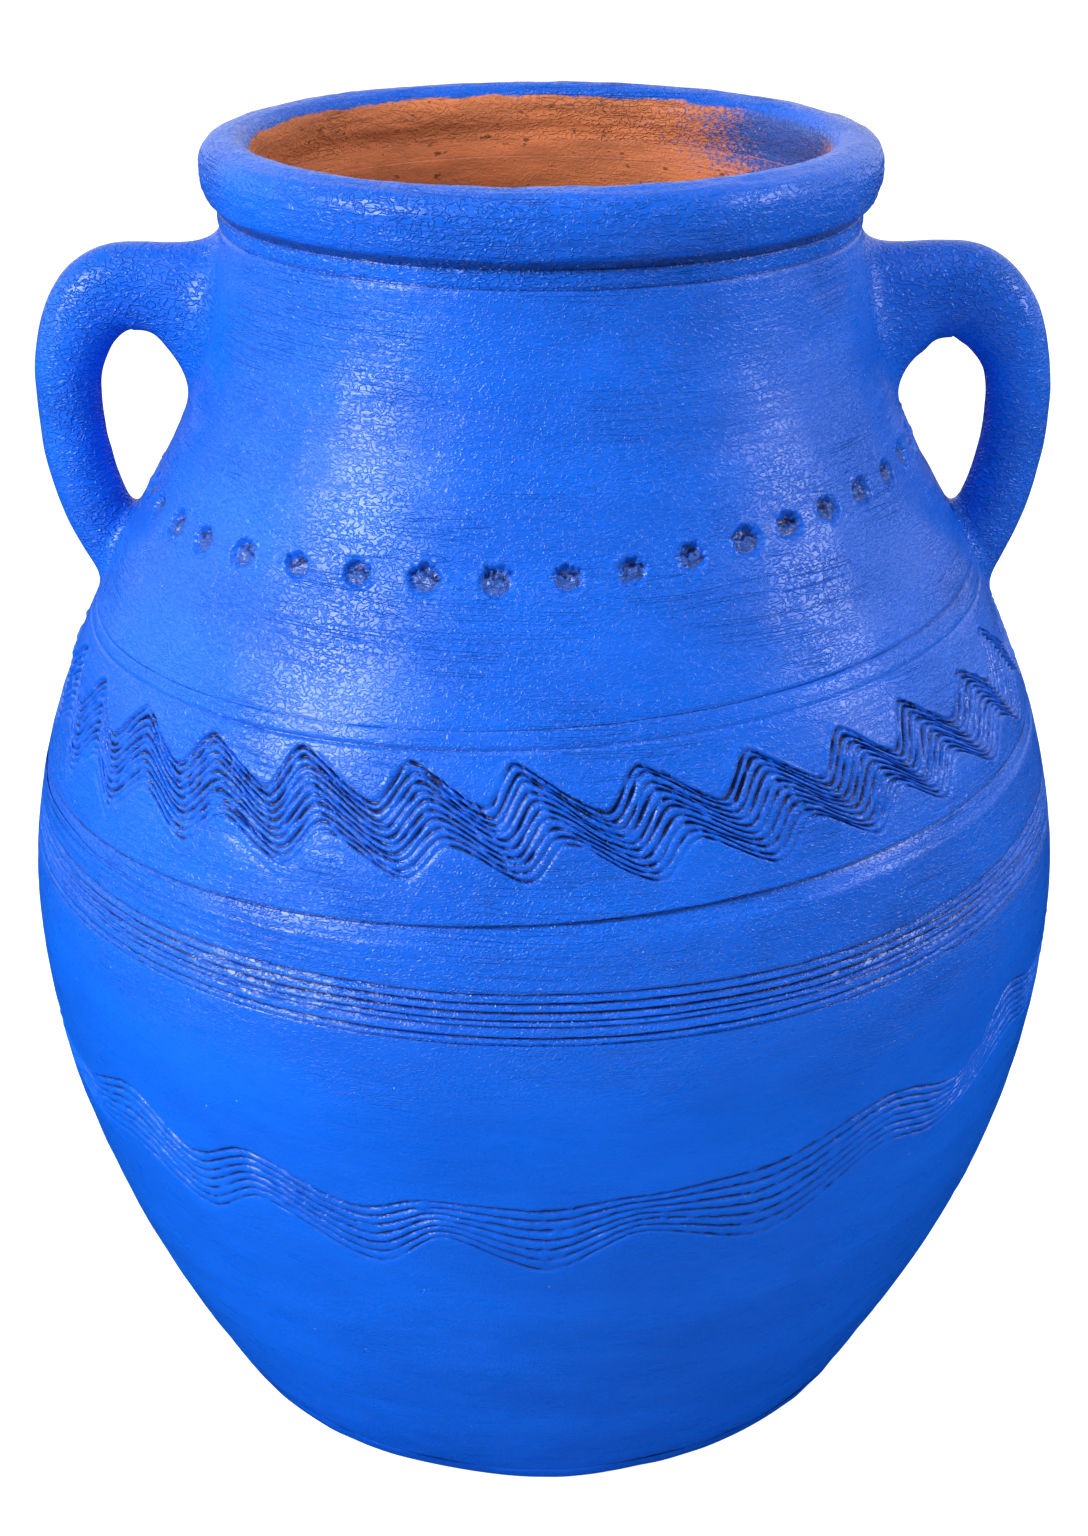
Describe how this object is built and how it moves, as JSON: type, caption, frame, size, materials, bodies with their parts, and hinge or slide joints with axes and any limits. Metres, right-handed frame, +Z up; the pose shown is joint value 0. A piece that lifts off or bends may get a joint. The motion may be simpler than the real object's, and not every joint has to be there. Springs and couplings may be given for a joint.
{
  "type": "olive jar",
  "caption": "Round-bellied two-handled earthenware storage jar with an open mouth under a rolled rim, a small flat foot and incised bands, painted outside and bare clay inside.",
  "frame": {"origin": "middle of the flat foot, on the floor", "axes": "+Z up along the jar's axis, +X through the right handle, -Y the side with the sharpest comb work, which faces the viewer"},
  "size_m": [0.527, 0.527, 0.6428],
  "materials": {
    "painted_clay": "satin blue paint brushed over red earthenware, bare clay inside"
  },
  "bodies": {
    "root": {"base_disc": "painted_clay", "lower_wall": "painted_clay", "belly_wall": "painted_clay", "shoulder_wall": "painted_clay", "collar": "painted_clay", "rim": "painted_clay", "left_handle": "painted_clay", "right_handle": "painted_clay", "left_upper_luting": "painted_clay", "left_lower_luting": "painted_clay", "right_upper_luting": "painted_clay", "right_lower_luting": "painted_clay"}
  },
  "joints": []
}
